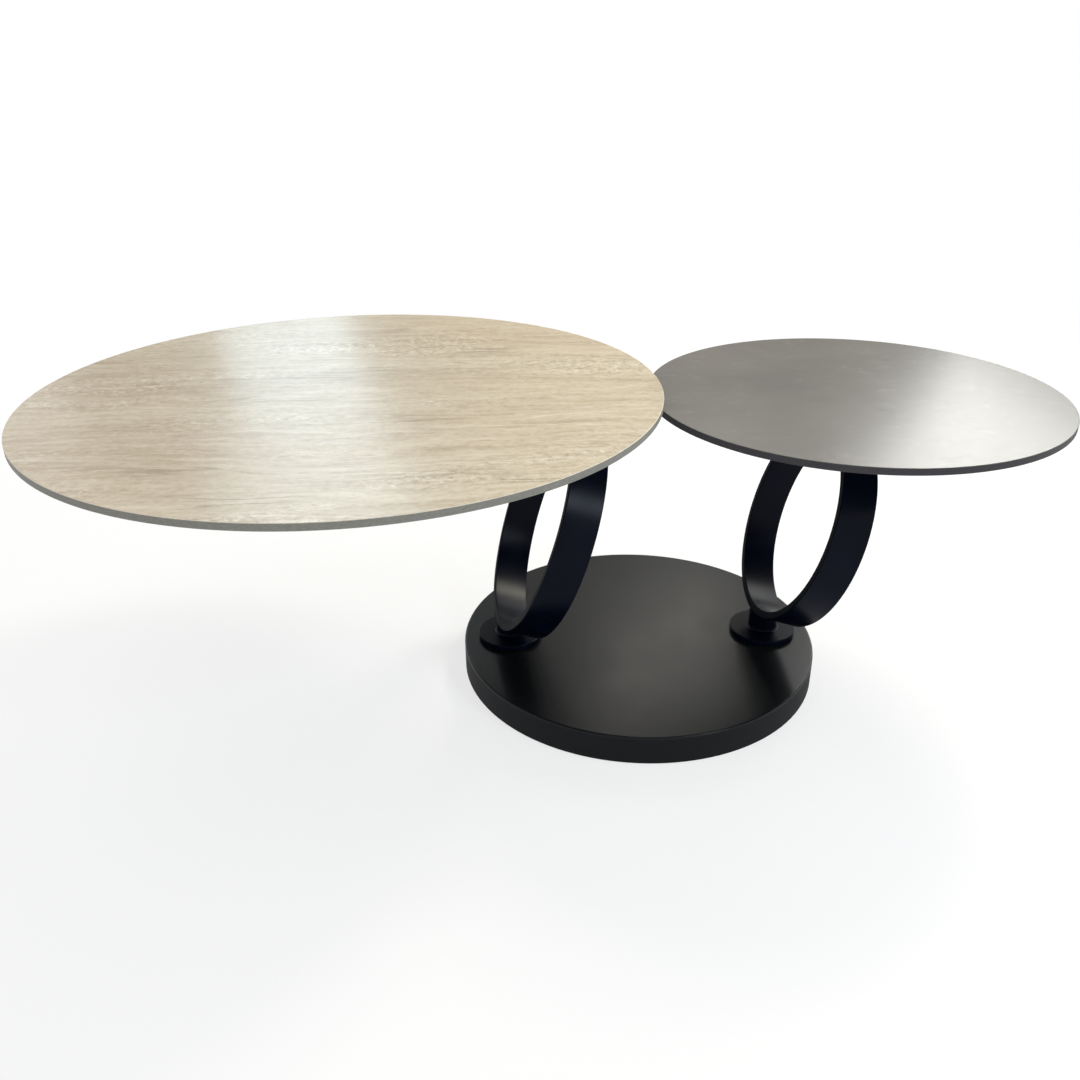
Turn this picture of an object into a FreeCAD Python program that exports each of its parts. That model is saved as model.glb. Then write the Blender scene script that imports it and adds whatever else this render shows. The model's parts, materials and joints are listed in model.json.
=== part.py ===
"""Swivel coffee table: two round tops on tilted steel rings, each ring turning on a heavy round base.

Millimetres. The origin is the middle of the base on the floor, +Z is up, and +X runs from the foot of the
large top to the foot of the small top.
"""
import FreeCAD, Part
import os
import re
import Sketcher
from FreeCAD import Placement, Rotation, Vector

SIZES = {
    # Base
    "base_diameter": 562,
    "base_height": 46,
    "cover_wall": 3,
    "cover_edge_radius": 2.5,
    "skirt_gap": 2,
    "bottom_plate_thickness": 2,
    "bottom_plate_clearance": 1,
    "glide_height": 4,
    "glide_diameter": 30,
    "glide_edge": 1,
    "glide_inset": 38,
    "glide_count": 6,
    "pillar_diameter": 18,
    "pillar_inset": 35,
    "pillar_count": 6,
    "ballast_rim_gap": 18,
    "ballast_thickness": 14,
    "ballast_clearance": 1,
    "ballast_foot_clearance": 14,
    "bottom_screw_diameter": 6,
    "bottom_screw_length": 14,
    "bottom_screw_head_diameter": 12,
    "bottom_screw_head_height": 2.5,
    "thread_overrun": 1,
    # Swivel bearings
    "foot_inset": 75,
    "spindle_diameter": 25,
    "spindle_shoulder": 2.5,
    "running_clearance": 0.05,
    "fit_gap": 0.03,
    "bush_wall": 1.5,
    "bush_collar_width": 4,
    "bush_flange_thickness": 1.5,
    "bush_length_share": 0.4,
    "housing_wall": 8,
    "housing_flange_width": 24,
    "housing_flange_thickness": 5,
    "cover_bore_clearance": 1,
    "housing_screw_inset": 8,
    "housing_screw_count": 4,
    "housing_screw_diameter": 5,
    "housing_screw_head_diameter": 9.5,
    "housing_screw_head_rise": 2.4,
    "housing_screw_length": 7,
    "thrust_washer_width": 13,
    "thrust_washer_thickness": 1,
    "axial_play": 0.2,
    "spindle_washer_lip": 2,
    "spindle_washer_thickness": 3,
    "nut_height": 9,
    "nut_across_flats": 30,
    "nut_sides": 6,
    "nut_clearance": 1.3,
    # Flanges, necks and rings
    "swivel_flange_diameter": 104,
    "swivel_flange_thickness": 8,
    "swivel_flange_edge": 1,
    "neck_diameter": 45,
    "weld_gap": 0.05,
    "strip_width": 54,
    "strip_thickness": 11.5,
    "strip_edge": 1,
    "large_foot_neck_length": 21,
    "large_ring_tilt": 19.7,
    "large_rest_turn": 6.4,
    "small_foot_neck_length": 31,
    "small_ring_tilt": 17.9,
    "small_rest_turn": 2.4,
    # Tops and their mounting
    "table_height": 468.7,
    "top_thickness": 10,
    "top_arris": 0.8,
    "tops_clearance": 3.2,
    "neck_clearance": 69.4,
    "crown_gap": 48,
    "large_top_diameter": 900,
    "large_plate_inset": 16,
    "large_top_turn": -2.5,
    "small_top_diameter": 600,
    "small_top_turn": 0,
    "mounting_plate_diameter": 180,
    "mounting_plate_thickness": 5,
    "mounting_plate_edge": 1,
    "plate_screw_inset": 20,
    "plate_screw_count": 6,
    "plate_screw_diameter": 6,
    "plate_screw_head_diameter": 12,
    "plate_screw_head_rise": 3,
    "plate_screw_tip_gap": 1,
    "insert_wall": 2.5,
    "insert_depth": 7,
}

# Heights over the floor, from the floor up
PLATE_UNDERSIDE = "glide_height"
PLATE_TOP = "(glide_height + bottom_plate_thickness)"
NUT_UNDERSIDE = f"({PLATE_TOP} + nut_clearance)"
WASHER_UNDERSIDE = f"({NUT_UNDERSIDE} + nut_height)"
WASHER_TOP = f"({WASHER_UNDERSIDE} + spindle_washer_thickness)"
LOWER_BUSH_END = f"({WASHER_TOP} + axial_play)"
HOUSING_END = f"({LOWER_BUSH_END} + bush_flange_thickness)"
COVER_UNDERSIDE = "(base_height - cover_wall)"
BUSH_LENGTH = f"(({COVER_UNDERSIDE} - {HOUSING_END}) * bush_length_share)"
FLANGE_UNDERSIDE = "(base_height + thrust_washer_thickness)"
FLANGE_TOP = f"({FLANGE_UNDERSIDE} + swivel_flange_thickness)"
TOP_UNDERSIDE = {
    "large": "(table_height - top_thickness)",
    "small": "(table_height - 2 * top_thickness - mounting_plate_thickness - tops_clearance)",
}
RING_RISE = {arm: f"({FLANGE_TOP} + {arm}_foot_neck_length)" for arm in TOP_UNDERSIDE}
CROWN_HEIGHT = {arm: f"({TOP_UNDERSIDE[arm]} - crown_gap)" for arm in TOP_UNDERSIDE}

# Distances from the middle of the base
COVER_INSIDE = "(base_diameter / 2 - cover_wall)"
BALLAST_RIM = f"({COVER_INSIDE} - ballast_rim_gap)"
PILLAR_CIRCLE = f"({BALLAST_RIM} - pillar_inset)"
GLIDE_CIRCLE = f"({COVER_INSIDE} - glide_inset)"
FOOT_OFFSET = "(base_diameter / 2 - foot_inset)"

# Radii of the swivel bearings
THREAD = "(spindle_diameter / 2 - spindle_shoulder)"
BUSH_BORE = "(spindle_diameter / 2 + running_clearance)"
BUSH_OUTSIDE = f"({BUSH_BORE} + bush_wall)"
BUSH_COLLAR = f"({BUSH_OUTSIDE} + bush_collar_width)"
HOUSING_BORE = f"({BUSH_OUTSIDE} + fit_gap)"
HOUSING_TUBE = f"({HOUSING_BORE} + housing_wall)"
HOUSING_RIM = f"({HOUSING_TUBE} + housing_flange_width)"
HOUSING_SCREW_CIRCLE = f"({HOUSING_RIM} - housing_screw_inset)"
COVER_BORE = f"({BUSH_COLLAR} + cover_bore_clearance)"

# Radii of the fastening under the tops
PLATE_SCREW_CIRCLE = "(mounting_plate_diameter / 2 - plate_screw_inset)"
INSERT_BORE = "(plate_screw_diameter / 2 + fit_gap)"
INSERT_OUTSIDE = f"({INSERT_BORE} + insert_wall)"

# The side of the base on which each top has its foot
SIDES = {"large": -1, "small": 1}

# How far each ring leans along +X, and how far each top's middle lies outwards from its upper neck:
# the large top covers its mounting plate, and the small top stands clear of the large one's neck
LEAN = {
    arm: f"(({CROWN_HEIGHT[arm]} - {RING_RISE[arm]}) * tan({arm}_ring_tilt * 1 deg))" for arm in SIDES
}
LEAN_ALONG = {arm: f"{LEAN[arm]} * cos({arm}_rest_turn * 1 deg)" for arm in SIDES}
NECK_DISTANCE = f"(2 * {FOOT_OFFSET} + {LEAN_ALONG['small']} - {LEAN_ALONG['large']})"
TOP_REACH = {
    "large": "((large_top_diameter - mounting_plate_diameter) / 2 - large_plate_inset)",
    "small": f"((small_top_diameter + neck_diameter) / 2 + neck_clearance - {NECK_DISTANCE})",
}

UP = Vector(0, 0, 1)
ACROSS = Vector(0, 1, 0)
FULL_TURN = 360
HALF_TURN = 180
QUARTER_TURN = 90

doc = FreeCAD.newDocument("swivel_table")
sheet = doc.addObject("Spreadsheet::Sheet", "Sizes")
for row, (alias, size) in enumerate(SIZES.items(), start=1):
    sheet.set(f"A{row}", alias)
    sheet.set(f"B{row}", str(size))
    sheet.setAlias(f"B{row}", alias)
doc.recompute()

pieces = []


def bound(text):
    """A formula in size names, written so that it reads the sheet's cells."""
    return re.sub(r"[a-z_]+", lambda word: f"Sizes.{word[0]}" if word[0] in SIZES else word[0], text)


def number(text):
    """The value of a formula in size names."""
    return float(sheet.evalExpression(bound(text)))


def origin_feature(body, role):
    return next(feature for feature in body.Origin.OriginFeatures if feature.Role == role)


def new_body(label, place=Placement()):
    body = doc.addObject("PartDesign::Body", label)
    body.Label = label
    body.Placement = place
    pieces.append(body)
    return body


def hold(sketch, kind, geometry, text, axis):
    """Ties the start of a line to a distance from the sketch's origin."""
    if number(text) == 0:
        sketch.addConstraint(Sketcher.Constraint("PointOnObject", geometry, 1, axis))
        return
    index = sketch.addConstraint(Sketcher.Constraint(kind, -1, 1, geometry, 1, number(text)))
    sketch.setExpression(f"Constraints[{index}]", bound(text))


def half_section(body, name, points, axes=(), side=1):
    """An upright outline of (distance, height) points, and upright axes at the given distances."""
    sketch = body.newObject("Sketcher::SketchObject", name)
    sketch.AttachmentSupport = (origin_feature(body, "XZ_Plane"), [""])
    sketch.MapMode = "FlatFace"
    if side < 0:
        sketch.AttachmentOffset = Placement(Vector(), Rotation(ACROSS, HALF_TURN))
    corners = [Vector(number(x), number(z), 0) for x, z in points]
    count = len(corners)
    for index, corner in enumerate(corners):
        sketch.addGeometry(Part.LineSegment(corner, corners[(index + 1) % count]), False)
    for index in range(count):
        sketch.addConstraint(Sketcher.Constraint("Coincident", index, 2, (index + 1) % count, 1))
    for index, (x, z) in enumerate(points):
        hold(sketch, "DistanceX", index, x, -2)
        hold(sketch, "DistanceY", index, z, -1)
    low = min(corner.y for corner in corners)
    high = max(corner.y for corner in corners)
    for x in axes:
        ends = [Vector(number(x), height, 0) for height in (low, high)]
        line = sketch.addGeometry(Part.LineSegment(*ends), True)
        sketch.addConstraint(Sketcher.Constraint("Vertical", line))
        hold(sketch, "DistanceX", line, x, -2)
    return sketch


def revolve(body, sketch, axis, cut=False):
    """Turns an outline about one of its axes, as a solid or as a cut that has to remove something."""
    before = 0 if body.Tip is None else body.Shape.Volume
    kind = "Groove" if cut else "Revolution"
    feature = body.newObject(f"PartDesign::{kind}", f"{sketch.Name}_{kind}")
    feature.Profile = sketch
    feature.ReferenceAxis = (sketch, [axis])
    feature.Angle = FULL_TURN
    doc.recompute()
    if (body.Shape.Volume < before) != cut:
        raise ValueError(f"{feature.Name} changes the volume the wrong way")
    return feature


def repeat(body, feature, count, axis):
    """Spreads a feature evenly round an axis."""
    pattern = body.newObject("PartDesign::PolarPattern", f"{feature.Name}_pattern")
    pattern.Originals = [feature]
    pattern.Axis = axis
    pattern.Angle = FULL_TURN
    pattern.setExpression("Occurrences", bound(count))
    body.Tip = pattern
    doc.recompute()


def turned(label, points, place=Placement(), axis="0"):
    """A piece turned about the upright line at the given distance from its own origin."""
    body = new_body(label, place)
    revolve(body, half_section(body, f"{label}_outline", points, [axis]), "Axis0")
    return body


def group(label, points, circle, count, place=Placement()):
    """Equal turned pieces, spread on a circle."""
    body = turned(label, points, place, circle)
    repeat(body, body.Tip, count, (origin_feature(body, "Z_Axis"), [""]))
    return body


def drill(body, name, points, circle, count):
    """Equal turned cuts, spread on a circle round the body's own axis."""
    sketch = half_section(body, name, points, [circle])
    repeat(body, revolve(body, sketch, "Axis0", cut=True), count, (origin_feature(body, "Z_Axis"), [""]))


def block(inner, outer, low, high):
    """The outline of a plain ring or disc."""
    return [(inner, low), (outer, low), (outer, high), (inner, high)]


def countersunk(middle, radius, head_radius, tip, neck, face):
    """The half outline of a countersunk screw, or of its hole, from its tip to its flush face."""
    return [
        (middle, tip),
        (f"{middle} + {radius}", tip),
        (f"{middle} + {radius}", neck),
        (f"{middle} + {head_radius}", face),
        (middle, face),
    ]


def chamfered(inner, outer, low, high, edge):
    """The outline of a disc or ring whose outer corners are broken by a small edge."""
    return [
        (inner, low),
        (f"{outer} - {edge}", low),
        (outer, f"{low} + {edge}"),
        (outer, f"{high} - {edge}"),
        (f"{outer} - {edge}", high),
        (inner, high),
    ]


def base_cover():
    """Pressed steel pan, open below, with a bore and four screw holes under each swivel flange."""
    rim = "base_diameter / 2"
    body = turned("base_cover", [
        ("0", COVER_UNDERSIDE),
        (COVER_INSIDE, COVER_UNDERSIDE),
        (COVER_INSIDE, "skirt_gap"),
        (rim, "skirt_gap"),
        (rim, "base_height"),
        ("0", "base_height"),
    ])
    revolved = body.Tip
    fillet = body.newObject("PartDesign::Fillet", "base_cover_rim")
    fillet.Base = (revolved, rim_edges(revolved.Shape, number(rim), number("base_height")))
    fillet.setExpression("Radius", bound("cover_edge_radius"))
    doc.recompute()
    hole = countersunk(
        f"({FOOT_OFFSET} + {HOUSING_SCREW_CIRCLE})",
        "(housing_screw_diameter / 2 + fit_gap)",
        "(housing_screw_head_diameter / 2 + fit_gap)",
        COVER_UNDERSIDE,
        "(base_height - housing_screw_head_rise)",
        "base_height",
    )
    bore = block(FOOT_OFFSET, f"{FOOT_OFFSET} + {COVER_BORE}", COVER_UNDERSIDE, "base_height")
    for arm, side in SIDES.items():
        sketch = half_section(body, f"{arm}_cover_bore", bore, [FOOT_OFFSET], side)
        revolve(body, sketch, "Axis0", cut=True)
        sketch = half_section(body, f"{arm}_cover_screw_hole", hole, [hole[0][0], FOOT_OFFSET], side)
        repeat(body, revolve(body, sketch, "Axis0", cut=True), "housing_screw_count", (sketch, ["Axis1"]))


def rim_edges(shape, radius, height):
    """Names of the round edges of one radius at one height."""
    tolerance = number("fit_gap")
    names = []
    for index, edge in enumerate(shape.Edges, start=1):
        curve = edge.Curve
        if isinstance(curve, Part.Circle) and abs(curve.Radius - radius) < tolerance:
            if abs(curve.Center.z - height) < tolerance:
                names.append(f"Edge{index}")
    return names


def base_inside():
    """Closing plate, ballast, pillars, screws and floor glides."""
    step = Placement(Vector(), Rotation(UP, HALF_TURN / number("pillar_count")))
    plate_rim = f"{COVER_INSIDE} - bottom_plate_clearance"
    plate = turned("bottom_plate", block("0", plate_rim, PLATE_UNDERSIDE, PLATE_TOP), step)
    screw_hole = f"{PILLAR_CIRCLE} + bottom_screw_diameter / 2 + fit_gap"
    drill(plate, "bottom_plate_hole", block(PILLAR_CIRCLE, screw_hole, PLATE_UNDERSIDE, PLATE_TOP),
          PILLAR_CIRCLE, "pillar_count")

    ballast_top = f"({PLATE_TOP} + ballast_thickness)"
    ballast = turned("ballast_plate", block("0", BALLAST_RIM, PLATE_TOP, ballast_top))
    foot_rim = f"{FOOT_OFFSET} + {HOUSING_TUBE} + ballast_foot_clearance"
    foot_hole = block(FOOT_OFFSET, foot_rim, PLATE_TOP, ballast_top)
    for arm, side in SIDES.items():
        sketch = half_section(ballast, f"{arm}_ballast_hole", foot_hole, [FOOT_OFFSET], side)
        revolve(ballast, sketch, "Axis0", cut=True)
    pillar_hole = f"{PILLAR_CIRCLE} + pillar_diameter / 2 + ballast_clearance"
    sketch = half_section(ballast, "ballast_pillar_hole",
                          block(PILLAR_CIRCLE, pillar_hole, PLATE_TOP, ballast_top), [PILLAR_CIRCLE, "0"])
    sketch.AttachmentOffset = Placement(Vector(), Rotation(ACROSS, HALF_TURN / number("pillar_count")))
    axis = (origin_feature(ballast, "Z_Axis"), [""])
    repeat(ballast, revolve(ballast, sketch, "Axis0", cut=True), "pillar_count", axis)

    thread = "(bottom_screw_diameter / 2 + fit_gap)"
    pillars = group("cover_pillars",
                    block(PILLAR_CIRCLE, f"{PILLAR_CIRCLE} + pillar_diameter / 2",
                          PLATE_TOP, COVER_UNDERSIDE),
                    PILLAR_CIRCLE, "pillar_count", step)
    drill(pillars, "pillar_thread",
          block(PILLAR_CIRCLE, f"{PILLAR_CIRCLE} + {thread}",
                PLATE_TOP, f"{PLATE_UNDERSIDE} + bottom_screw_length + thread_overrun"),
          PILLAR_CIRCLE, "pillar_count")
    shank = f"{PILLAR_CIRCLE} + bottom_screw_diameter / 2"
    head = f"{PILLAR_CIRCLE} + bottom_screw_head_diameter / 2"
    head_low = f"({PLATE_UNDERSIDE} - bottom_screw_head_height)"
    group("bottom_plate_screws", [
        (PILLAR_CIRCLE, head_low),
        (head, head_low),
        (head, PLATE_UNDERSIDE),
        (shank, PLATE_UNDERSIDE),
        (shank, f"{PLATE_UNDERSIDE} + bottom_screw_length"),
        (PILLAR_CIRCLE, f"{PLATE_UNDERSIDE} + bottom_screw_length"),
    ], PILLAR_CIRCLE, "pillar_count", step)
    glides = group("floor_glides", glide(GLIDE_CIRCLE), GLIDE_CIRCLE, "glide_count")
    revolve(glides, half_section(glides, "middle_glide", glide("0"), ["0"]), "Axis0")


def glide(middle):
    """The half outline of one round floor glide."""
    return [
        (middle, "0"),
        (f"{middle} + glide_diameter / 2 - glide_edge", "0"),
        (f"{middle} + glide_diameter / 2", "glide_edge"),
        (f"{middle} + glide_diameter / 2", PLATE_UNDERSIDE),
        (middle, PLATE_UNDERSIDE),
    ]


def foot_bearing(arm):
    """What the base holds round one swivel axis: housing, screws, two bushes and a thrust washer."""
    place = Placement(Vector(SIDES[arm] * number(FOOT_OFFSET), 0, 0), Rotation())
    flange_low = f"({COVER_UNDERSIDE} - housing_flange_thickness)"
    housing = turned(f"{arm}_bearing_housing", [
        (HOUSING_BORE, HOUSING_END),
        (HOUSING_TUBE, HOUSING_END),
        (HOUSING_TUBE, flange_low),
        (HOUSING_RIM, flange_low),
        (HOUSING_RIM, COVER_UNDERSIDE),
        (HOUSING_BORE, COVER_UNDERSIDE),
    ], place)
    thread = f"{HOUSING_SCREW_CIRCLE} + housing_screw_diameter / 2 + fit_gap"
    drill(housing, f"{arm}_housing_thread",
          block(HOUSING_SCREW_CIRCLE, thread, flange_low, COVER_UNDERSIDE),
          HOUSING_SCREW_CIRCLE, "housing_screw_count")
    screw = countersunk(HOUSING_SCREW_CIRCLE, "housing_screw_diameter / 2", "housing_screw_head_diameter / 2",
                        "base_height - housing_screw_length", "base_height - housing_screw_head_rise",
                        "base_height")
    group(f"{arm}_housing_screws", screw, HOUSING_SCREW_CIRCLE, "housing_screw_count", place)
    collar_top = f"({COVER_UNDERSIDE} + bush_flange_thickness)"
    turned(f"{arm}_upper_bush", [
        (BUSH_BORE, f"{COVER_UNDERSIDE} - {BUSH_LENGTH}"),
        (BUSH_OUTSIDE, f"{COVER_UNDERSIDE} - {BUSH_LENGTH}"),
        (BUSH_OUTSIDE, COVER_UNDERSIDE),
        (BUSH_COLLAR, COVER_UNDERSIDE),
        (BUSH_COLLAR, collar_top),
        (BUSH_BORE, collar_top),
    ], place)
    turned(f"{arm}_lower_bush", [
        (BUSH_BORE, LOWER_BUSH_END),
        (BUSH_COLLAR, LOWER_BUSH_END),
        (BUSH_COLLAR, HOUSING_END),
        (BUSH_OUTSIDE, HOUSING_END),
        (BUSH_OUTSIDE, f"{HOUSING_END} + {BUSH_LENGTH}"),
        (BUSH_BORE, f"{HOUSING_END} + {BUSH_LENGTH}"),
    ], place)
    washer = block(COVER_BORE, f"{COVER_BORE} + thrust_washer_width", "base_height", FLANGE_UNDERSIDE)
    turned(f"{arm}_thrust_washer", washer, place)


def swivel(arm, place):
    """The turning foot: flange, spindle, retaining washer and nut."""
    shaft = "spindle_diameter / 2"
    bore = "(spindle_diameter / 2 + fit_gap)"
    flange_rim = "swivel_flange_diameter / 2"
    turned(f"{arm}_swivel_flange", [
        (bore, FLANGE_UNDERSIDE),
        (flange_rim, FLANGE_UNDERSIDE),
        (flange_rim, f"{FLANGE_TOP} - swivel_flange_edge"),
        (f"{flange_rim} - swivel_flange_edge", FLANGE_TOP),
        (bore, FLANGE_TOP),
    ], place)
    turned(f"{arm}_spindle", [
        ("0", NUT_UNDERSIDE),
        (THREAD, NUT_UNDERSIDE),
        (THREAD, WASHER_TOP),
        (shaft, WASHER_TOP),
        (shaft, FLANGE_TOP),
        ("0", FLANGE_TOP),
    ], place)
    hole = f"({THREAD} + fit_gap)"
    turned(f"{arm}_spindle_washer",
           block(hole, f"{BUSH_COLLAR} + spindle_washer_lip", WASHER_UNDERSIDE, WASHER_TOP), place)
    prism = doc.addObject("Part::Prism", f"{arm}_nut_prism")
    prism.setExpression("Polygon", bound("nut_sides"))
    prism.setExpression("Circumradius", bound("nut_across_flats / 2 / cos(180 deg / nut_sides)"))
    prism.setExpression("Height", bound("nut_height"))
    core = doc.addObject("Part::Cylinder", f"{arm}_nut_core")
    core.setExpression("Radius", bound(hole))
    core.setExpression("Height", bound("nut_height"))
    for solid in (prism, core):
        solid.Placement = place * Placement(Vector(0, 0, number(NUT_UNDERSIDE)), Rotation())
    cut(f"{arm}_spindle_nut", prism, core)


def cut(label, base, tool):
    solid = doc.addObject("Part::Cut", label)
    solid.Label = label
    solid.Base = base
    solid.Tool = tool
    pieces.append(solid)


def ring_and_necks(arm, place):
    """Rolled flat-bar ring that leans over its foot, with a neck below and above coped to its outside.

    Returns where the crown of the ring lies, as seen from the foot.
    """
    tilt = number(f"{arm}_ring_tilt")
    diameter = f"(({CROWN_HEIGHT[arm]} - {RING_RISE[arm]}) / cos({arm}_ring_tilt * 1 deg))"
    lean = Rotation(ACROSS, tilt)
    middle = Vector(0, 0, number(RING_RISE[arm])) + lean.multVec(Vector(0, 0, number(f"{diameter} / 2")))
    ring_axis = place * Placement(middle, Rotation(ACROSS, QUARTER_TURN + tilt))

    outside = f"{diameter} / 2"
    inside = f"({diameter} / 2 - strip_thickness)"
    half_back = Placement(Vector(0, 0, number("-strip_width / 2")), Rotation())
    turned(f"{arm}_ring", [
        (f"{inside} + strip_edge", "0"),
        (f"{outside} - strip_edge", "0"),
        (outside, "strip_edge"),
        (outside, "strip_width - strip_edge"),
        (f"{outside} - strip_edge", "strip_width"),
        (f"{inside} + strip_edge", "strip_width"),
        (inside, "strip_width - strip_edge"),
        (inside, "strip_edge"),
    ], ring_axis * half_back)

    crown = middle + lean.multVec(Vector(0, 0, number(f"{diameter} / 2")))
    low_end = Vector(0, 0, number(FLANGE_TOP))
    high_end = Vector(crown.x, 0, middle.z)
    plate_underside = f"({TOP_UNDERSIDE[arm]} - mounting_plate_thickness)"
    half_chord = f"({RING_RISE[arm]} + {CROWN_HEIGHT[arm]}) / 2"
    for name, start, length in (
        ("foot_neck", low_end, f"{half_chord} - {FLANGE_TOP}"),
        ("top_neck", high_end, f"{plate_underside} - {half_chord}"),
    ):
        bar = doc.addObject("Part::Cylinder", f"{arm}_{name}_bar")
        bar.setExpression("Radius", bound("neck_diameter / 2"))
        bar.setExpression("Height", bound(length))
        bar.Placement = place * Placement(start, Rotation())
        cope = doc.addObject("Part::Cylinder", f"{arm}_{name}_cope")
        cope.setExpression("Radius", bound(f"{outside} + weld_gap"))
        cope.setExpression("Height", bound(diameter))
        cope.Placement = ring_axis * Placement(Vector(0, 0, number(f"-{diameter} / 2")), Rotation())
        cut(f"{arm}_{name}", bar, cope)
    return crown


def top(arm, place, crown):
    """Mounting plate welded to the upper neck, its countersunk screws, the inserts and the ceramic top."""
    plate_underside = number(f"{TOP_UNDERSIDE[arm]} - mounting_plate_thickness")
    outwards = HALF_TURN if SIDES[arm] < 0 else 0
    turn = Rotation(UP, outwards + number(f"{arm}_top_turn"))
    plate_place = place * Placement(Vector(crown.x, 0, plate_underside), turn)
    lift = Placement(Vector(0, 0, number("mounting_plate_thickness")), Rotation())
    top_place = plate_place * lift

    circle = PLATE_SCREW_CIRCLE
    count = "plate_screw_count"
    plate = turned(f"{arm}_mounting_plate", [
        ("0", "0"),
        ("mounting_plate_diameter / 2 - mounting_plate_edge", "0"),
        ("mounting_plate_diameter / 2", "mounting_plate_edge"),
        ("mounting_plate_diameter / 2", "mounting_plate_thickness"),
        ("0", "mounting_plate_thickness"),
    ], plate_place)
    hole = countersunk(circle, INSERT_BORE, "(plate_screw_head_diameter / 2 + fit_gap)",
                       "mounting_plate_thickness", "plate_screw_head_rise", "0")
    drill(plate, f"{arm}_plate_hole", hole, circle, count)
    tip = "mounting_plate_thickness + insert_depth - plate_screw_tip_gap"
    screw = countersunk(circle, "plate_screw_diameter / 2", "plate_screw_head_diameter / 2",
                        tip, "plate_screw_head_rise", "0")
    group(f"{arm}_plate_screws", screw, circle, count, plate_place)
    sleeve = block(f"{circle} + {INSERT_BORE}", f"{circle} + {INSERT_OUTSIDE}", "0", "insert_depth")
    group(f"{arm}_top_inserts", sleeve, circle, count, top_place)

    reach = TOP_REACH[arm]
    rim = f"{reach} + {arm}_top_diameter / 2"
    slab = turned(f"{arm}_top", chamfered(reach, rim, "0", "top_thickness", "top_arris"), top_place, reach)
    drill(slab, f"{arm}_insert_hole",
          block(circle, f"{circle} + {INSERT_OUTSIDE} + fit_gap", "0", "insert_depth"),
          circle, count)


def check_and_write():
    """Stops on any object that failed, then writes one file for each piece."""
    doc.recompute()
    for item in doc.Objects:
        if "Invalid" in item.State or "Error" in item.State:
            raise ValueError(f"{item.Name} failed: {item.State}")
    for piece in pieces:
        if piece.Shape.isNull() or not piece.Shape.isValid() or not piece.Shape.Solids:
            raise ValueError(f"{piece.Label} has no sound solid")
    os.makedirs("parts", exist_ok=True)
    for piece in pieces:
        piece.Shape.exportStep(f"parts/{piece.Label}.step")
        box = piece.Shape.BoundBox
        print(f"{piece.Label}: {len(piece.Shape.Solids)} solids, {piece.Shape.Volume:.0f} mm3, "
              f"x {box.XMin:.1f} to {box.XMax:.1f}, y {box.YMin:.1f} to {box.YMax:.1f}, "
              f"z {box.ZMin:.1f} to {box.ZMax:.1f}")


base_cover()
base_inside()
for arm, side in SIDES.items():
    foot_bearing(arm)
    foot = Placement(Vector(side * number(FOOT_OFFSET), 0, 0), Rotation(UP, number(f"{arm}_rest_turn")))
    swivel(arm, foot)
    top(arm, foot, ring_and_necks(arm, foot))
check_and_write()
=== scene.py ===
import json
import math

import bmesh
import bpy
import numpy as np
from mathutils import Matrix, Vector


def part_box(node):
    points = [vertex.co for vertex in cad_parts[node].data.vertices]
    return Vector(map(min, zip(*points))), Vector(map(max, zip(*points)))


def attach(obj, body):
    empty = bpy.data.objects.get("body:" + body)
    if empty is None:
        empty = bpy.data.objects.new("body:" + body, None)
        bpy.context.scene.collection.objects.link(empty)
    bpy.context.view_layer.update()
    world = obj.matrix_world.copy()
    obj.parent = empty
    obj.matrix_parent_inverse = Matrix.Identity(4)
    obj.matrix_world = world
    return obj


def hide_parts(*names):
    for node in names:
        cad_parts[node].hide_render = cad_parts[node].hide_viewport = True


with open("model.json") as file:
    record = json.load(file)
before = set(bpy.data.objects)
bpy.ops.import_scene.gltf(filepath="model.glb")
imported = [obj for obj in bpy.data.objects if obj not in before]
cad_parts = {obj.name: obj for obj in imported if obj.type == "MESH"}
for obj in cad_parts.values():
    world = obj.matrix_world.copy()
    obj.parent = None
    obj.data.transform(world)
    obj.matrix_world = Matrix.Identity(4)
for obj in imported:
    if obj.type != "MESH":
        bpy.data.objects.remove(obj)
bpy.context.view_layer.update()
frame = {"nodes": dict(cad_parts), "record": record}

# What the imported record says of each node
SLOT_OF = {part["node"]: part["material_slot"] for part in frame["record"]["subparts"]}
BODY_OF = {node: body for body, nodes in frame["record"]["behaviour"]["bodies"].items() for node in nodes}
ARMS = ("large", "small")

# Camera: focal length in pixels of the square photograph, sensor in millimetres, place in metres, and angles
# in degrees with the tilt that takes a camera from straight down to level
PHOTO_SIDE = 1080
FOCAL_PIXELS = 995.3
SENSOR_WIDTH = 36.0
CAMERA_PLACE = (-0.1850, -1.3945, 0.9057)
CAMERA_YAW = -1.14
CAMERA_PITCH = 26.27
CAMERA_ROLL = -0.46
LEVEL_TILT = 90.0

# Sky, with a white floor's brightness as 1: white up to its rise and dimmer above, most of all in front.
# The rise is the upward part of a unit direction, and the turn its part towards the back.
SKY_RISE = (0.32, 0.48)
SKY_TURN = (-0.2, 0.5)
SKY_FRONT = 0.40
SKY_BACK = 0.62
SKY_COLOUR = (1.0, 0.99, 0.965)

# Wide soft lamp overhead, with its level as the sky's and its spread in degrees
OVERHEAD_LEVEL = 0.12
OVERHEAD_SPREAD = 60.0

# Dim card far behind the table, in metres and degrees, that the glossy faces mirror. Its level, with a white
# floor's brightness as 1, grows towards its top.
CARD_REACH = 9.0
CARD_TURN = (-30.0, 48.0)
CARD_HEIGHT = (1.40, 5.00)
CARD_LEVEL = (0.08, 0.60)
CARD_STEPS = 24

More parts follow.
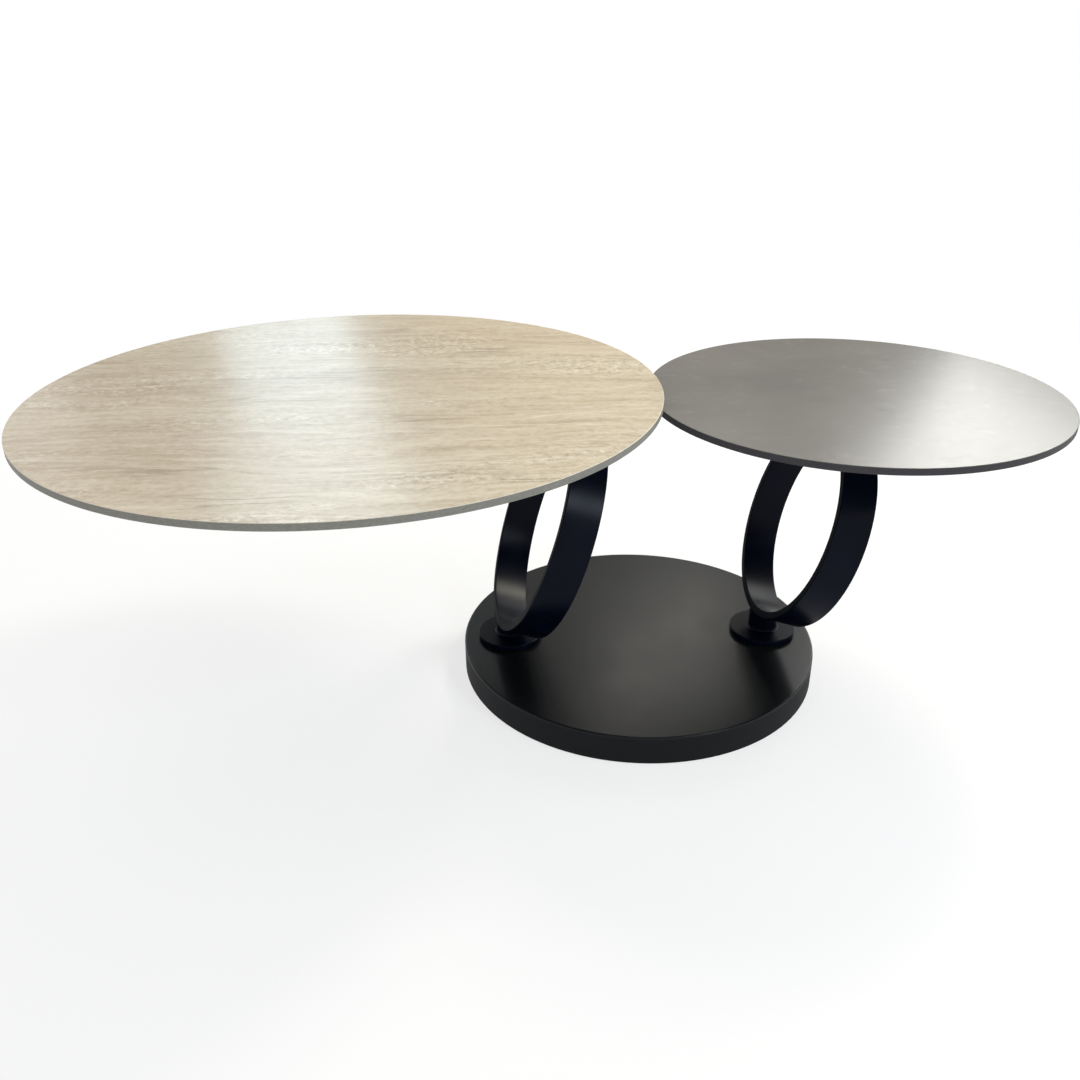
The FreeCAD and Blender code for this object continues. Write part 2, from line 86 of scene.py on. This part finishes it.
# Soft panels that face the table, in metres and degrees, with their radiance on the sky's scale
LIGHT_AIM = (0.0, 0.0, 0.4)
LEFT_RADIANCE = 2.35
LEFT_COLOUR = (0.68, 0.88, 1.0)
PANELS = {
    "left_panel": {"place": (-1.09, 3.04, 1.78), "size": (0.60, 1.55), "roll": 10.0,
                   "radiance": LEFT_RADIANCE, "colour": LEFT_COLOUR},
    "left_side_panel": {"place": (-1.42, 2.78, 2.10), "size": (0.24, 0.85), "roll": 0.0,
                        "radiance": LEFT_RADIANCE, "colour": LEFT_COLOUR},
    "right_panel": {"place": (2.36, 2.98, 2.45), "size": (1.96, 1.50), "roll": -22.0,
                    "radiance": 4.8, "colour": (0.99, 1.0, 0.97)},
    "ceiling_panel": {"place": (1.14, 6.57, 4.38), "size": (1.45, 0.62), "roll": 35.0,
                      "radiance": 5.4, "colour": (1.0, 0.97, 0.88)},
    "warm_panel": {"place": (1.49, 1.54, 2.60), "size": (0.70, 0.70), "roll": 0.0,
                   "radiance": 33.0, "colour": (1.0, 0.95, 0.78)},
    "front_panel": {"place": (1.72, -1.92, 2.18), "size": (0.70, 0.70), "roll": 0.0,
                    "radiance": 18.0, "colour": (0.78, 0.88, 1.0)},
}

# Floor, in metres: the share of plain white that the camera and mirrors see in it grows away from the table
FLOOR_REACH = 60.0
FLOOR_COLOUR = (0.98, 0.98, 0.98)
FLOOR_ROUGHNESS = (0.9, 1.0)
FLOOR_CELLS = (3.0, 3.0, 3.0)
FLOOR_GLOW_NEAR = 0.70
FLOOR_GLOW_FROM = 0.8
FLOOR_GLOW_FULL = 3.0

# Plain colours with alpha
WHITE = (1, 1, 1, 1)
BLACK = (0, 0, 0, 1)

# Roundings and weld fillets, in metres
TOP_ARRIS = 0.0009
STRIP_EDGE = 0.0014
FLANGE_EDGE = 0.0014
WELD_LEG = 0.0032
WELD_SINK = 0.0002

# Steps of an arc and of full turns, the angle from which an edge is sharp, and the decimals of a metre that
# keep a micron
ROUND_STEPS = 5
TURN_STEPS = 256
NECK_STEPS = 96
SHARP_ANGLE = math.radians(40)
MICRON_DECIMALS = 6

# Part of a normal along a slab's or a ring's axis, from which a face has the finish of the slab's printed
# face, of its arris painted paler as a highlight, or of the ring's edge
FACE_RISE = 0.95
ARRIS_RISE = 0.4
EDGE_FACING = 0.5

# Stretches of a noise, whose values gather about its middle
NOISE_MIDDLE = 0.5
MOST = (0.30, 0.70)
WIDE = (0.25, 0.75)
UPPER = (0.45, 0.75)
DARK_SIDE = (0.51, 0.66)
PALE_SIDE = (0.49, 0.34)

# Travertine: sway of the veins in metres with its cells per metre, their turn from level, the stretch in
# metres along the table over which painted warm light pales the stone's right end and how far that sways, and
# for each layer of the pattern its cells per metre along and across the veins, its detail and its roughness
SLOW_SWAY = 0.022
SLOW_CELLS = (1.8, 3.0, 1.0)
QUICK_SWAY = 0.003
QUICK_CELLS = (12.0, 20.0, 1.0)
VEIN_TURN = math.radians(-1.5)
PAINTED_WARM_LIGHT = (-0.60, 0.0)
PAINTED_WARM_LIGHT_SWAY = 0.2
STONE_LAYERS = {
    "broad": (1.1, 9.0, 4.0, 0.6),
    "cloud": (1.4, 3.4, 3.0, 0.5),
    "veins": (3.0, 42.0, 4.0, 0.55),
    "ripples": (7.0, 84.0, 3.0, 0.55),
    "fine": (18.0, 125.0, 3.0, 0.60),
    "grain": (110.0, 170.0, 3.0, 0.65),
    "hair": (1.6, 22.0, 2.0, 0.5),
    "breaks": (4.0, 11.0, 2.0, 0.5),
    "rows": (2.6, 12.0, 3.0, 0.5),
    "pores": (130.0, 150.0, 2.0, 0.5),
}
HAIR_WIDTH = 0.018
THREAD_SHIFT = 0.06
STONE_ROUGHNESS = (0.22, 0.25)

# Concrete: turn of its brushing in radians, and its layers as for the stone
BRUSH_TURN = 0.2
BRUSHED_LAYER = (6.0, 60.0, 3.0, 0.6)
CONCRETE_LAYERS = {
    "cloud": (3.0, 4.5, 5.0, 0.6),
    "mottle": (24.0, 34.0, 5.0, 0.60),
    "marks": (60.0, 80.0, 4.0, 0.65),
    "sparks": (120.0, 110.0, 3.0, 0.5),
}
CONCRETE_ROUGHNESS = (0.21, 0.25)

# Slab edges, powder coats, bare metals and mouldings: noise cells per metre, and roughness or its unevenness
SLAB_CELLS = (260.0, 260.0, 700.0)
SLAB_ROUGHNESS = (0.48, 0.60)
PEEL_CELLS = (620.0, 620.0, 620.0)
PATCH_CELLS = (14.0, 14.0, 14.0)
COAT_UNEVENNESS = 0.03
METAL_UNEVENNESS = 0.08
MOULDING_CELLS = (800.0, 800.0, 800.0)
MOULDING_UNEVENNESS = 0.05

# Base coat: depth of the bright rim and of the fade below it to the skirt's painted shade, in metres, and how
# much rougher the skirt is
BASE_ROUGHNESS = (0.23, 0.26)
RIM_DEPTH = 0.0015
SKIRT_FADE = 0.0025
SKIRT_DULLNESS = 0.45


class Nodes:
    """Short calls that add nodes to a tree."""

    def __init__(self, tree):
        self.tree = tree

    def add(self, kind, values=None, **settings):
        node = self.tree.nodes.new(kind)
        for key, value in settings.items():
            setattr(node, key, value)
        for key, value in (values or {}).items():
            self.set(node, key, value)
        return node

    def set(self, node, key, value):
        if isinstance(value, bpy.types.NodeSocket):
            self.tree.links.new(value, node.inputs[key])
        else:
            node.inputs[key].default_value = value

    def place(self, scale=(1, 1, 1), turn=0.0):
        """Coordinates fixed to the piece, in metres, turned about its upright axis and then scaled."""
        spot = self.add("ShaderNodeTexCoord").outputs["Object"]
        turned = self.add("ShaderNodeMapping", {"Vector": spot, "Rotation": (0, 0, turn)})
        return self.add("ShaderNodeMapping", {"Vector": turned.outputs[0], "Scale": scale}).outputs[0]

    def part(self, vector, axis):
        return self.add("ShaderNodeSeparateXYZ", {0: vector}).outputs[axis]

    def noise(self, vector, detail=2.0, roughness=0.5):
        values = {"Vector": vector, "Scale": 1.0, "Detail": detail, "Roughness": roughness, "Distortion": 0.0}
        return self.add("ShaderNodeTexNoise", values).outputs[0]

    def layer(self, vector, along, across, detail, roughness):
        """A noise with so many cells per metre along X and across it."""
        spread = self.add("ShaderNodeMapping", {"Vector": vector, "Scale": (along, across, 1.0)}).outputs[0]
        return self.noise(spread, detail, roughness)

    def span(self, value, low, high, to_low=0.0, to_high=1.0):
        """Maps a range of a value to another, clamped and eased."""
        values = {"Value": value, "From Min": low, "From Max": high, "To Min": to_low, "To Max": to_high}
        return self.add("ShaderNodeMapRange", values, interpolation_type="SMOOTHSTEP").outputs[0]

    def work_out(self, operation, first, second):
        return self.add("ShaderNodeMath", {0: first, 1: second}, operation=operation).outputs[0]

    def times(self, first, second):
        return self.work_out("MULTIPLY", first, second)

    def line(self, value, width):
        """One along the thin lines where a noise passes its middle, fading to nothing beside them."""
        away = self.work_out("ABSOLUTE", self.work_out("SUBTRACT", value, NOISE_MIDDLE), 0.0)
        return self.span(away, width, 0.0)

    def mix(self, share, first, second):
        """Mixes two colours. The node's socket names repeat, so its colour sockets go by number."""
        node = self.add("ShaderNodeMix", {0: share, 6: first, 7: second}, data_type="RGBA", blend_type="MIX")
        return node.outputs[2]

    def bump(self, height, distance, strength):
        values = {"Height": height, "Distance": distance, "Strength": strength}
        return self.add("ShaderNodeBump", values).outputs[0]


class Shader(Nodes):
    """A material with one surface shader."""

    def __init__(self, name):
        self.material = bpy.data.materials.new(name)
        self.material.use_nodes = True
        super().__init__(self.material.node_tree)
        self.surface = self.tree.nodes["Principled BSDF"]

    def finish(self, **values):
        """Sets the surface shader's sockets, named with underscores for spaces."""
        for key, value in values.items():
            self.set(self.surface, key.replace("_", " "), value)
        return self.material


def hexed(code):
    """A colour written as six hexadecimal digits, as linear light with alpha, by the sRGB curve."""
    parts = [int(code[index:index + 2], 16) / 255 for index in (0, 2, 4)]
    return (*[part / 12.92 if part <= 0.04045 else ((part + 0.055) / 1.055) ** 2.4 for part in parts], 1.0)


def travertine():
    """Beige stone-look ceramic with short level veins, cream streaks, hairlines and rows of small pores."""
    shader = Shader("travertine_ceramic")
    slow = shader.noise(shader.place(SLOW_CELLS), detail=2.0)
    quick = shader.noise(shader.place(QUICK_CELLS), detail=3.0, roughness=0.6)
    slow_sway = shader.span(slow, *WIDE, -SLOW_SWAY, SLOW_SWAY)
    quick_sway = shader.span(quick, *WIDE, -QUICK_SWAY, QUICK_SWAY)
    sway = shader.add("ShaderNodeCombineXYZ", {"Y": shader.work_out("ADD", slow_sway, quick_sway)}).outputs[0]
    bent = shader.add("ShaderNodeVectorMath", {0: shader.place(turn=VEIN_TURN), 1: sway}).outputs[0]
    layers = {name: shader.layer(bent, *values) for name, values in STONE_LAYERS.items()}
    rows = layers["rows"]

    colour = shader.mix(shader.span(layers["broad"], *MOST), hexed("b9a993"), hexed("c7baa4"))
    colour = shader.mix(shader.span(layers["cloud"], *UPPER, 0.0, 0.45), colour, hexed("c0a892"))
    # Painted warm light: a paler, warmer tone grows over the top's right end, with its edge swayed by the
    # clouds
    warm_light_edge_sway = shader.span(layers["cloud"], 0.2, 0.8, -PAINTED_WARM_LIGHT_SWAY, PAINTED_WARM_LIGHT_SWAY)
    warm_lit_side = shader.work_out("ADD", shader.part(bent, "X"), warm_light_edge_sway)
    colour = shader.mix(shader.span(warm_lit_side, *PAINTED_WARM_LIGHT, 0.0, 0.35), colour, hexed("dacba8"))

    grain_share = shader.span(rows, 0.42, 0.60, 0.16, 0.30)
    streaks = (
        ("veins", 0.17, "97846d", "ded4c1"),
        ("ripples", 0.16, "8f7b64", "e4dbc9"),
        ("fine", 0.18, "937f67", "e4dccb"),
        ("grain", grain_share, "8b7861", "e8e0d0"),
    )
    for name, share, dark, pale in streaks:
        colour = shader.mix(shader.span(layers[name], *DARK_SIDE, 0.0, share), colour, hexed(dark))
        colour = shader.mix(shader.span(layers[name], *PALE_SIDE, 0.0, share), colour, hexed(pale))

    beside = shader.work_out("SUBTRACT", layers["hair"], THREAD_SHIFT)
    cracked = shader.span(layers["breaks"], 0.46, 0.60, 0.0, 0.45)
    threaded = shader.span(layers["breaks"], 0.52, 0.38, 0.0, 0.32)
    pitted = shader.span(rows, 0.50, 0.62, 0.0, 0.35)
    flecked = shader.span(rows, 0.50, 0.64, 0.0, 0.44)
    details = (
        (shader.line(layers["hair"], HAIR_WIDTH), cracked, "7d6b55"),
        (shader.line(beside, HAIR_WIDTH), threaded, "efe8da"),
        (shader.span(layers["pores"], 0.60, 0.70), pitted, "76664f"),
        (shader.span(layers["pores"], 0.44, 0.34), flecked, "efe9dc"),
    )
    for detail, share, code in details:
        colour = shader.mix(shader.times(detail, share), colour, hexed(code))
    return shader.finish(
        Base_Color=colour,
        Roughness=shader.span(layers["fine"], *WIDE, *STONE_ROUGHNESS),
        Normal=shader.bump(layers["grain"], distance=0.0001, strength=0.08),
        Specular_IOR_Level=0.5,
    )


def concrete():
    """Warm grey concrete-look ceramic with soft clouds, faint brushing and marks, and uneven gloss."""
    shader = Shader("concrete_ceramic")
    layers = {name: shader.layer(shader.place(), *values) for name, values in CONCRETE_LAYERS.items()}
    mottle = layers["mottle"]
    brushed = shader.layer(shader.place(turn=BRUSH_TURN), *BRUSHED_LAYER)
    colour = shader.mix(shader.span(layers["cloud"], *MOST), hexed("65615d"), hexed("6e6a65"))
    colour = shader.mix(shader.span(brushed, *UPPER, 0.0, 0.05), colour, hexed("787470"))
    colour = shader.mix(shader.span(mottle, *UPPER, 0.0, 0.10), colour, hexed("807d77"))
    marked = shader.span(layers["marks"], 0.54, 0.66, 0.0, 0.10)
    colour = shader.mix(shader.times(shader.span(mottle, 0.50, 0.65), marked), colour, hexed("aaa7a0"))
    gloss = shader.span(mottle, 0.49, 0.57, 0.0, 0.07)
    polished = shader.times(shader.span(layers["sparks"], 0.54, 0.61), gloss)
    rough = shader.span(mottle, 0.30, 0.75, *CONCRETE_ROUGHNESS)
    return shader.finish(
        Base_Color=colour,
        Roughness=shader.work_out("SUBTRACT", rough, polished),
        Normal=shader.bump(layers["marks"], distance=0.0001, strength=0.4),
        Specular_IOR_Level=0.5,
    )


def slab_edge(name, code, pale):
    """Honed edge and underside of a ceramic top, or its upper arris painted paler as a highlight."""
    shader = Shader(name)
    grain = shader.noise(shader.place(SLAB_CELLS), detail=3.0)
    return shader.finish(
        Base_Color=shader.mix(shader.span(grain, 0.35, 0.70), hexed(code), hexed(pale)),
        Roughness=shader.span(grain, *MOST, *SLAB_ROUGHNESS),
        Normal=shader.bump(grain, distance=0.00015, strength=0.3),
        Specular_IOR_Level=0.35,
    )


def dried_coat(shader):
    """Bump of the fine orange peel that powder coat dries to, and a noise of its broad patches."""
    peel = shader.noise(shader.place(PEEL_CELLS), detail=2.0, roughness=0.55)
    patch = shader.noise(shader.place(PATCH_CELLS), detail=3.0)
    return shader.bump(peel, distance=0.0001, strength=0.08), patch


def powder_coat(name, code, pale, rough, gloss):
    """Black powder coat of the steel pieces other than the base cover."""
    shader = Shader(name)
    peel, patch = dried_coat(shader)
    return shader.finish(
        Base_Color=shader.mix(shader.span(patch, *MOST), hexed(code), hexed(pale)),
        Roughness=shader.span(patch, *MOST, rough - COAT_UNEVENNESS, rough + COAT_UNEVENNESS),
        Normal=peel,
        Specular_IOR_Level=gloss,
    )


def base_coat():
    """Satin black powder coat of the base, with painted shade that darkens its upright skirt, which is also
    duller.
    """
    shader = Shader("satin_black_coat")
    peel, patch = dried_coat(shader)
    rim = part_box("base_cover")[1].z - RIM_DEPTH
    # Painted shade: below the rim the skirt is mixed towards a darker blue-black, and its roughness rises
    skirt_shade_and_dullness = shader.span(shader.part(shader.place(), "Z"), rim - SKIRT_FADE, rim, 1.0, 0.0)
    colour = shader.mix(shader.span(patch, *MOST), hexed("0b0d10"), hexed("101214"))
    rough = shader.span(patch, *MOST, *BASE_ROUGHNESS)
    return shader.finish(
        Base_Color=shader.mix(skirt_shade_and_dullness, colour, hexed("03060b")),
        Roughness=shader.work_out("ADD", rough, shader.times(skirt_shade_and_dullness, SKIRT_DULLNESS)),
        Normal=peel,
        Specular_IOR_Level=0.20,
    )


def plain_metal(name, code, pale, rough, cells):
    """Bare metal with a directional or cast grain."""
    shader = Shader(name)
    grain = shader.noise(shader.place(cells), detail=4.0, roughness=0.6)
    return shader.finish(
        Base_Color=shader.mix(shader.span(grain, *MOST), hexed(code), hexed(pale)),
        Metallic=1.0,
        Roughness=shader.span(grain, *MOST, rough - METAL_UNEVENNESS, rough + METAL_UNEVENNESS),
        Normal=shader.bump(grain, distance=0.0002, strength=0.3),
    )


def moulded(name, code, pale, rough):
    """Rubber or plastic with a faint moulded grain."""
    shader = Shader(name)
    grain = shader.noise(shader.place(MOULDING_CELLS), detail=2.0)
    return shader.finish(
        Base_Color=shader.mix(shader.span(grain, *MOST), hexed(code), hexed(pale)),
        Roughness=shader.span(grain, *MOST, rough - MOULDING_UNEVENNESS, rough + MOULDING_UNEVENNESS),
        Normal=shader.bump(grain, distance=0.0001, strength=0.3),
        Specular_IOR_Level=0.4,
    )


def rounded(corners):
    """A closed outline of (radius, height, rounding) corners, with an arc at each rounded square corner."""
    outline = []
    for index, (radius, height, rounding) in enumerate(corners):
        corner = Vector((radius, height))
        if not rounding:
            outline.append(corner)
            continue
        before = (Vector(corners[index - 1][:2]) - corner).normalized()
        after = (Vector(corners[(index + 1) % len(corners)][:2]) - corner).normalized()
        middle = corner + (before + after) * rounding
        for step in range(ROUND_STEPS + 1):
            turn = math.pi / 2 * step / ROUND_STEPS
            outline.append(middle - (after * math.cos(turn) + before * math.sin(turn)) * rounding)
    return outline


def skin(shape, rows, closed):
    """Joins rows of vertices, each a full round or a single middle point, by faces."""
    pairs = list(zip(rows, rows[1:]))
    if closed:
        pairs.append((rows[-1], rows[0]))
    steps = max(len(row) for row in rows)
    for low, high in pairs:
        for index in range(steps):
            following = (index + 1) % steps
            corners = [low[index % len(low)], low[following % len(low)],
                       high[following % len(high)], high[index % len(high)]]
            corners = list(dict.fromkeys(corners))
            if len(corners) > 2:
                shape.faces.new(corners)
    bmesh.ops.recalc_face_normals(shape, faces=shape.faces)


def lathe(outline, place):
    """A closed outline of (radius, height) points turned about an axis."""
    shape = bmesh.new()
    turns = [2 * math.pi * step / TURN_STEPS for step in range(TURN_STEPS)]
    rows = []
    for radius, height in outline:
        if radius == 0:
            rows.append([shape.verts.new((0, 0, height))])
        else:
            rows.append([shape.verts.new((radius * math.cos(turn), radius * math.sin(turn), height))
                         for turn in turns])
    skin(shape, rows, closed=True)
    shape.transform(place)
    shape.normal_update()
    return shape


def as_object(name, shape, *materials):
    """A shape as an object of the scene."""
    mesh = bpy.data.meshes.new(name)
    shape.to_mesh(mesh)
    shape.free()
    for material in materials:
        mesh.materials.append(material)
    item = bpy.data.objects.new(name, mesh)
    bpy.context.scene.collection.objects.link(item)
    return item


def stand_in(node, shape, *materials):
    """A finer piece in the place of a node, which moves with the node's body."""
    piece = as_object(f"{node}_skin", shape, *materials)
    piece.data.shade_smooth()
    piece.data.set_sharp_from_angle(angle=SHARP_ANGLE)
    piece.modifiers.new("even_normals", "WEIGHTED_NORMAL").keep_sharp = True
    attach(piece, BODY_OF[node])
    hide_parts(node)


def upright(node):
    """Place of the foot of an upright node's axis, its radius and its height."""
    low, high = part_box(node)
    middle = (low + high) / 2
    return Vector((middle.x, middle.y, low.z)), (high.x - low.x) / 2, high.z - low.z


def ring_frame(node):
    """Place of a ring with its axis as Z, and its inner radius, outer radius and width."""
    points = np.array([vertex.co for vertex in frame["nodes"][node].data.vertices])
    points = np.unique(points.round(MICRON_DECIMALS), axis=0)
    # The points spread least along the ring's axis, which comes first, and most across it
    ways = np.linalg.eigh(np.cov((points - points.mean(0)).T))[1].T
    along, across = Vector(ways[0]).normalized(), Vector(ways[2]).normalized()
    if along.x < 0:
        along.negate()
    turn = Matrix((across, along.cross(across), along)).transposed()
    local = points @ np.array(turn)
    middle = (local.min(0) + local.max(0)) / 2
    radii = np.hypot(local[:, 0] - middle[0], local[:, 1] - middle[1])
    place = Matrix.Translation(turn @ Vector(middle)) @ turn.to_4x4()
    return place, radii.min(), radii.max(), local[:, 2].max() - local[:, 2].min()


def top(arm, face, edge, arris):
    """A slab with its printed face, its edge and underside, and its upper arris painted paler as a highlight,
    as three finishes.
    """
    node = f"{arm}_top"
    foot, radius, thickness = upright(node)
    outline = rounded([(0, 0, 0), (radius, 0, TOP_ARRIS), (radius, thickness, TOP_ARRIS), (0, thickness, 0)])
    shape = lathe(outline, Matrix.Translation(foot))
    finishes = (face, edge, arris)
    for polygon in shape.faces:
        finish = edge
        if polygon.normal.z > FACE_RISE:
            finish = face
        elif polygon.normal.z > ARRIS_RISE:
            finish = arris
        polygon.material_index = finishes.index(finish)
    stand_in(node, shape, *finishes)


def ring(arm, coat, edge):
    """A ring of flat bar with duller edges. Gives its place and its outer radius."""
    node = f"{arm}_ring"
    place, inner, outer, width = ring_frame(node)
    corners = [(radius, height, STRIP_EDGE) for radius, height in
               ((inner, -width / 2), (outer, -width / 2), (outer, width / 2), (inner, width / 2))]
    shape = lathe(rounded(corners), place)
    axis = place.to_3x3().col[2]
    finishes = (coat, edge)
    for polygon in shape.faces:
        finish = edge if abs(polygon.normal.dot(axis)) > EDGE_FACING else coat
        polygon.material_index = finishes.index(finish)
    stand_in(node, shape, *finishes)
    return place, outer


def flange(arm, coat):
    """A swivel's round flange, bored for its spindle."""
    node = f"{arm}_swivel_flange"
    foot, radius, height = upright(node)
    low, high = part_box(f"{arm}_spindle")
    bore = (high.x - low.x) / 2
    outline = rounded([(bore, 0, 0), (radius, 0, FLANGE_EDGE / 2), (radius, height, FLANGE_EDGE),
                       (bore, height, 0)])
    stand_in(node, lathe(outline, Matrix.Translation(foot)), coat)


def meet(place, outer, x, y, upper):
    """Height at which an upright line meets the outside of a ring, on its upper or lower half."""
    axis = place.to_3x3().col[2]
    start = Vector((x, y, 0)) - place.translation
    start -= axis * start.dot(axis)
    climb = Vector((0, 0, 1)) - axis * axis.z
    # The height solves square * height * height + 2 * slope * height + rest = 0
    square = climb.dot(climb)
    slope = start.dot(climb)
    rest = start.dot(start) - outer * outer
    root = math.sqrt(slope * slope - square * rest)
    return (-slope + root if upper else -slope - root) / square


def neck(arm, name, coat, ring_place, outer):
    """A round neck with a weld fillet where it meets the ring and where it stands on its plate."""
    node = f"{arm}_{name}"
    low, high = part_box(node)
    upper = name == "top_neck"
    middle = (low + high) / 2
    radius = (high.x - low.x) / 2
    flat = high.z if upper else low.z
    way = -1 if upper else 1
    shape = bmesh.new()
    arc = [math.pi / 2 * step / ROUND_STEPS for step in range(ROUND_STEPS + 1)]
    fillet = [(radius + WELD_LEG * (1 - math.sin(turn)), WELD_LEG * (1 - math.cos(turn))) for turn in arc]
    turns = [2 * math.pi * step / NECK_STEPS for step in range(NECK_STEPS)]

    def around(size):
        return [(middle.x + size * math.cos(turn), middle.y + size * math.sin(turn)) for turn in turns]

    rows = [[shape.verts.new((middle.x, middle.y, flat))]]
    for size, rise in fillet:
        rows.append([shape.verts.new((x, y, flat + way * rise)) for x, y in around(size)])
    for size, rise in reversed(fillet):
        sink = WELD_SINK if size > radius else 0
        rows.append([shape.verts.new((x, y, meet(ring_place, outer, x, y, upper) - way * (rise - sink)))
                     for x, y in around(size)])
    crown = meet(ring_place, outer, middle.x, middle.y, upper)
    rows.append([shape.verts.new((middle.x, middle.y, crown + way * WELD_SINK))])
    skin(shape, rows, closed=False)
    stand_in(node, shape, coat)


def dress():
    """Every piece of the object gets its finish."""
    frames = powder_coat("matt_black_coat", "020511", "040919", rough=0.30, gloss=0.08)
    strip_edge = powder_coat("dull_black_coat", "03050d", "060914", rough=0.55, gloss=0.03)
    satin = base_coat()
    finishes = {
        "black_steel": frames,
        "ballast_iron": plain_metal("cast_iron", "2c2b2a", "4a4846", rough=0.62, cells=(90.0, 90.0, 90.0)),
        "glide_rubber": moulded("glide_rubber", "0d0d0d", "171717", rough=0.72),
        "bearing_plastic": moulded("bearing_plastic", "ccc8bd", "dedad0", rough=0.48),
        "insert_brass": plain_metal("insert_brass", "a5803e", "c9a75f", rough=0.32,
                                    cells=(120.0, 120.0, 900.0)),
        "zinc_steel": plain_metal("zinc_steel", "9a9c9f", "c3c6c9", rough=0.30, cells=(60.0, 900.0, 60.0)),
    }
    faces = {"large": travertine(), "small": concrete()}
    edges = {
        "large": slab_edge("grey_slab_edge", "76756f", "83827c"),
        "small": slab_edge("dark_slab_edge", "2b2a2e", "343338"),
    }
    # Painted highlight: the upper arrises are paler than the faces and edges beside them
    arris_highlights = {
        "large": slab_edge("pale_arris_highlight", "cdc3b0", "dbd3c3"),
        "small": slab_edge("dark_arris_highlight", "55534f", "605e5a"),
    }
    for arm in ARMS:
        top(arm, faces[arm], edges[arm], arris_highlights[arm])
        flange(arm, frames)
        place, outer = ring(arm, frames, strip_edge)
        for name in ("foot_neck", "top_neck"):
            neck(arm, name, frames, place, outer)
    for node, item in frame["nodes"].items():
        if not item.hide_render:
            finish = satin if node == "base_cover" else finishes[SLOT_OF[node]]
            item.data.materials.clear()
            item.data.materials.append(finish)


def stage():
    """A white floor that keeps a soft shadow and runs to the horizon."""
    paint = Shader("floor_paint")
    speckle = paint.noise(paint.place(FLOOR_CELLS))
    paint.finish(Base_Color=(*FLOOR_COLOUR, 1.0), Roughness=paint.span(speckle, 0, 1, *FLOOR_ROUGHNESS),
                 Specular_IOR_Level=0.0)
    path = paint.add("ShaderNodeLightPath").outputs
    seen = paint.work_out("MAXIMUM", path["Is Camera Ray"], path["Is Glossy Ray"])
    seen = paint.work_out("MAXIMUM", seen, path["Is Transmission Ray"])
    away = paint.add("ShaderNodeVectorMath", {0: paint.place()}, operation="LENGTH").outputs["Value"]
    share = paint.span(away, FLOOR_GLOW_FROM, FLOOR_GLOW_FULL, FLOOR_GLOW_NEAR, 1.0)
    glow = paint.add("ShaderNodeEmission", {"Color": WHITE, "Strength": 1.0})
    both = paint.add("ShaderNodeMixShader", {0: paint.times(seen, share), 1: paint.surface.outputs[0],
                                             2: glow.outputs[0]})
    paint.set(paint.tree.nodes["Material Output"], "Surface", both.outputs[0])
    shape = bmesh.new()
    bmesh.ops.create_grid(shape, x_segments=2, y_segments=2, size=FLOOR_REACH)
    as_object("floor", shape, paint.material)


def card():
    """A dim card far behind the table, which the camera doesn't see."""
    paint = Shader("card_paint")
    level = paint.span(paint.part(paint.place(), "Z"), *CARD_HEIGHT, *CARD_LEVEL)
    paint.finish(Base_Color=BLACK, Roughness=1.0, Specular_IOR_Level=0.0,
                 Emission_Color=(*SKY_COLOUR, 1.0), Emission_Strength=level)
    shape = bmesh.new()
    turns = [math.radians(turn) for turn in np.linspace(*CARD_TURN, CARD_STEPS + 1)]
    rows = [[shape.verts.new((CARD_REACH * math.sin(turn), CARD_REACH * math.cos(turn), height))
             for turn in turns] for height in CARD_HEIGHT]
    for index in range(CARD_STEPS):
        shape.faces.new((rows[0][index], rows[0][index + 1], rows[1][index + 1], rows[1][index]))
    sheet = as_object("card", shape, paint.material)
    sheet.visible_camera = False


def light():
    """Sky, overhead lamp and panels."""
    world = bpy.data.worlds.new("studio")
    bpy.context.scene.world = world
    world.use_nodes = True
    nodes = Nodes(world.node_tree)
    way = nodes.add("ShaderNodeTexCoord").outputs["Generated"]
    up = nodes.part(way, "Z")
    dome = nodes.span(nodes.part(way, "Y"), *SKY_TURN, SKY_FRONT, SKY_BACK)
    sky = world.node_tree.nodes["Background"]
    nodes.set(sky, "Strength", nodes.span(up, *SKY_RISE, 1.0, dome))
    nodes.set(sky, "Color", nodes.mix(nodes.span(up, *SKY_RISE), WHITE, (*SKY_COLOUR, 1.0)))

    sun = bpy.data.lights.new("overhead", "SUN")
    sun.energy = OVERHEAD_LEVEL * math.pi
    sun.angle = math.radians(OVERHEAD_SPREAD)
    bpy.context.scene.collection.objects.link(bpy.data.objects.new("overhead", sun))

    for name, panel in PANELS.items():
        wide, tall = panel["size"]
        area = bpy.data.lights.new(name, "AREA")
        area.shape = "RECTANGLE"
        area.size = wide
        area.size_y = tall
        area.energy = panel["radiance"] * math.pi * wide * tall
        area.color = panel["colour"]
        lamp = bpy.data.objects.new(name, area)
        facing = (Vector(LIGHT_AIM) - Vector(panel["place"])).to_track_quat("-Z", "Y").to_matrix().to_4x4()
        roll = Matrix.Rotation(math.radians(panel["roll"]), 4, "Z")
        lamp.matrix_world = Matrix.Translation(panel["place"]) @ facing @ roll
        lamp.visible_camera = False
        bpy.context.scene.collection.objects.link(lamp)


def camera():
    """The photograph's viewpoint."""
    data = bpy.data.cameras.new("camera")
    data.sensor_width = SENSOR_WIDTH
    data.lens = FOCAL_PIXELS / PHOTO_SIDE * SENSOR_WIDTH
    item = bpy.data.objects.new("camera", data)
    yaw = Matrix.Rotation(math.radians(CAMERA_YAW), 4, "Z")
    pitch = Matrix.Rotation(math.radians(LEVEL_TILT - CAMERA_PITCH), 4, "X")
    roll = Matrix.Rotation(math.radians(CAMERA_ROLL), 4, "Z")
    item.matrix_world = Matrix.Translation(CAMERA_PLACE) @ yaw @ pitch @ roll
    bpy.context.scene.collection.objects.link(item)
    bpy.context.scene.camera = item


dress()
stage()
card()
light()
camera()
bpy.context.scene.view_settings.view_transform = "Standard"
